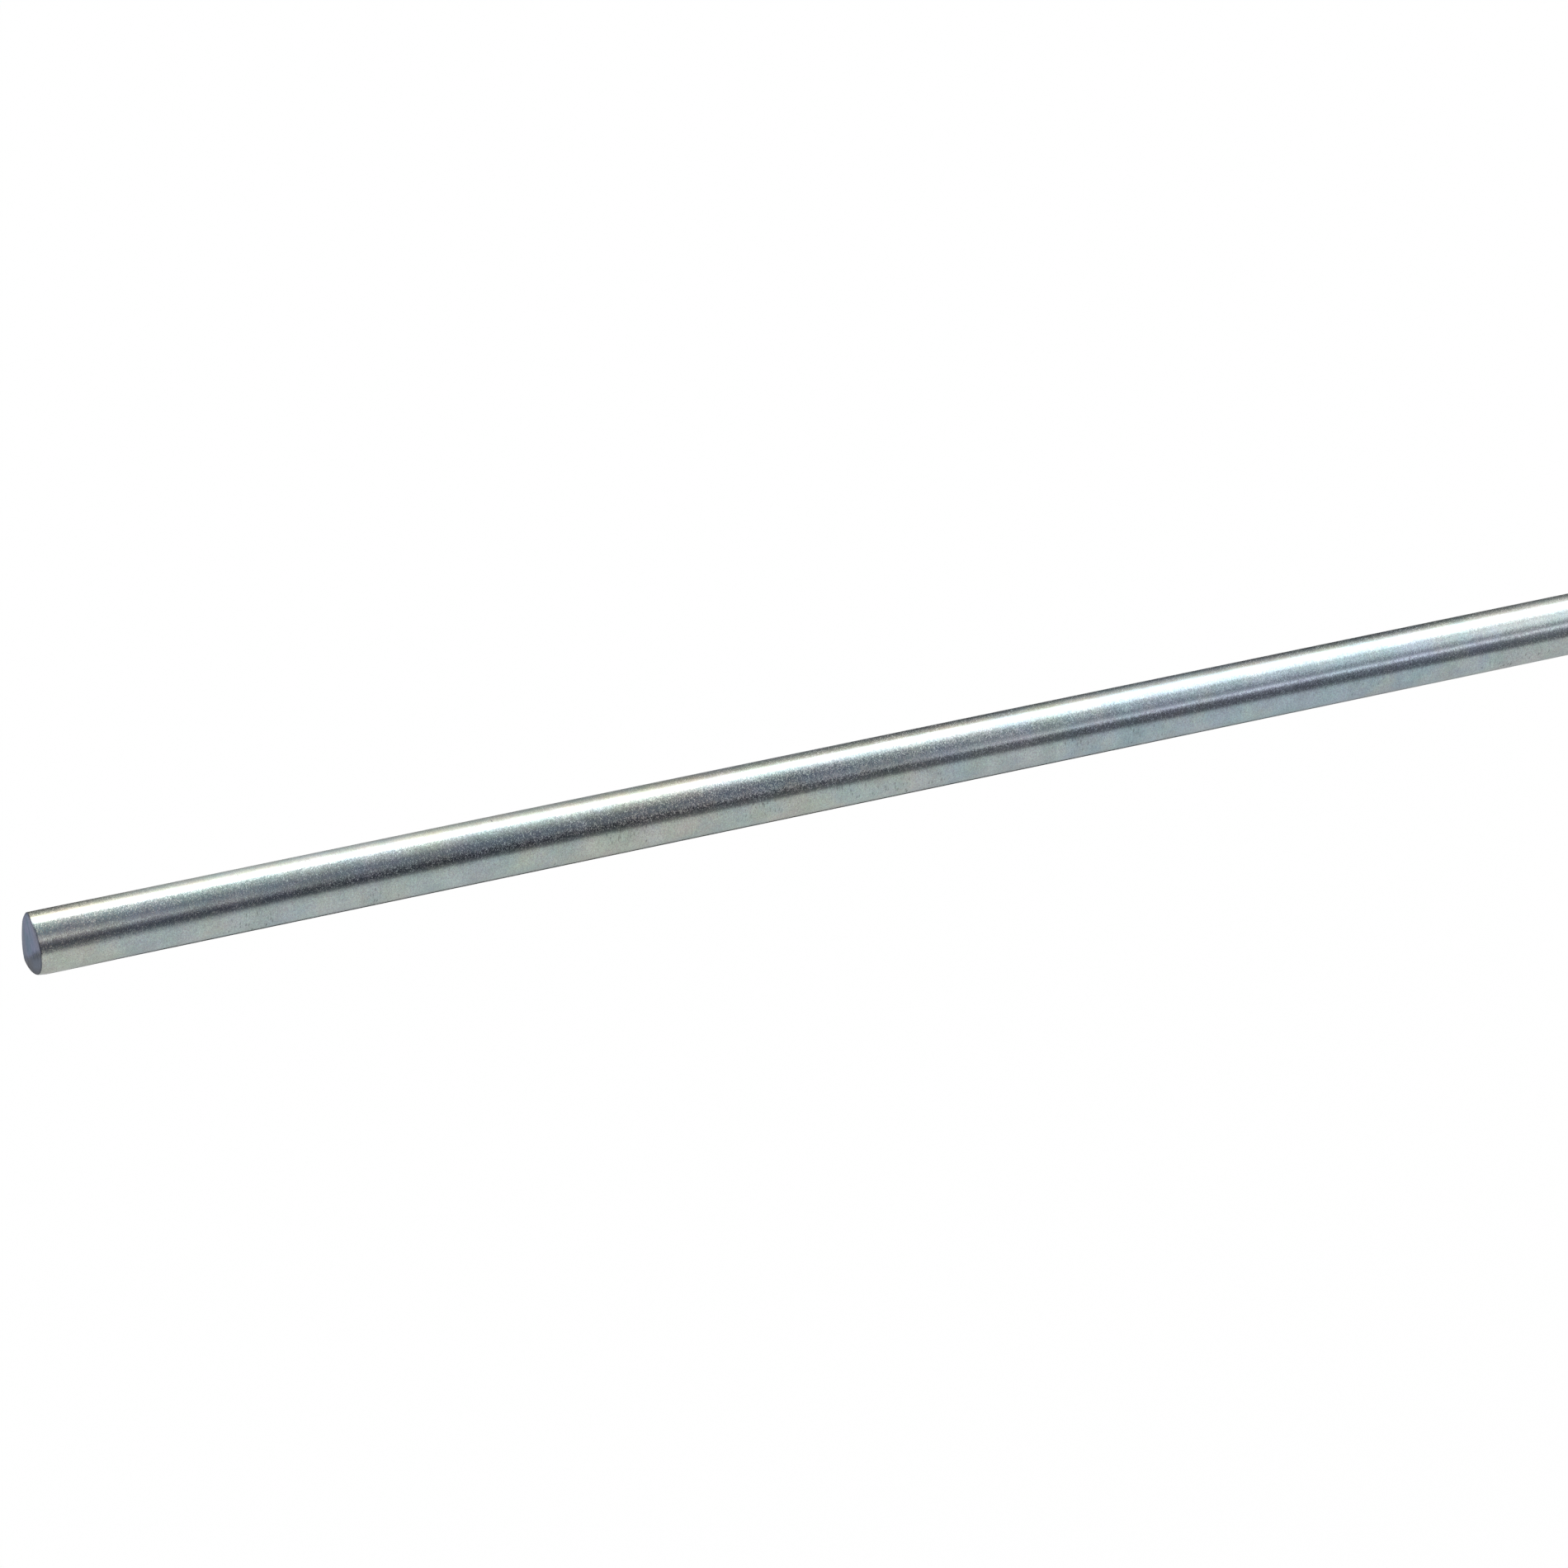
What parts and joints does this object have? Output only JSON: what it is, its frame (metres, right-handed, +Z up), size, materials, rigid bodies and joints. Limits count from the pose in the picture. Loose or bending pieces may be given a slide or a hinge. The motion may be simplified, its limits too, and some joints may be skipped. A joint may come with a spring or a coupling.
{
  "type": "steel rod",
  "caption": "Plain round bar of zinc-plated drawn steel, with one end cropped by a blade and the other cut square.",
  "frame": {"origin": "on the bar's axis, half-way between the cropped face and the plain end", "axes": "+X along the bar, from the cropped end to the plain end; +Z up"},
  "size_m": [1.0002, 0.008, 0.008],
  "materials": {
    "zinc_plated_steel": "satin drawn steel with a thin clear zinc plating, fine rings round the bar and a few dark specks"
  },
  "bodies": {
    "root": {"rod": "zinc_plated_steel"}
  },
  "joints": []
}
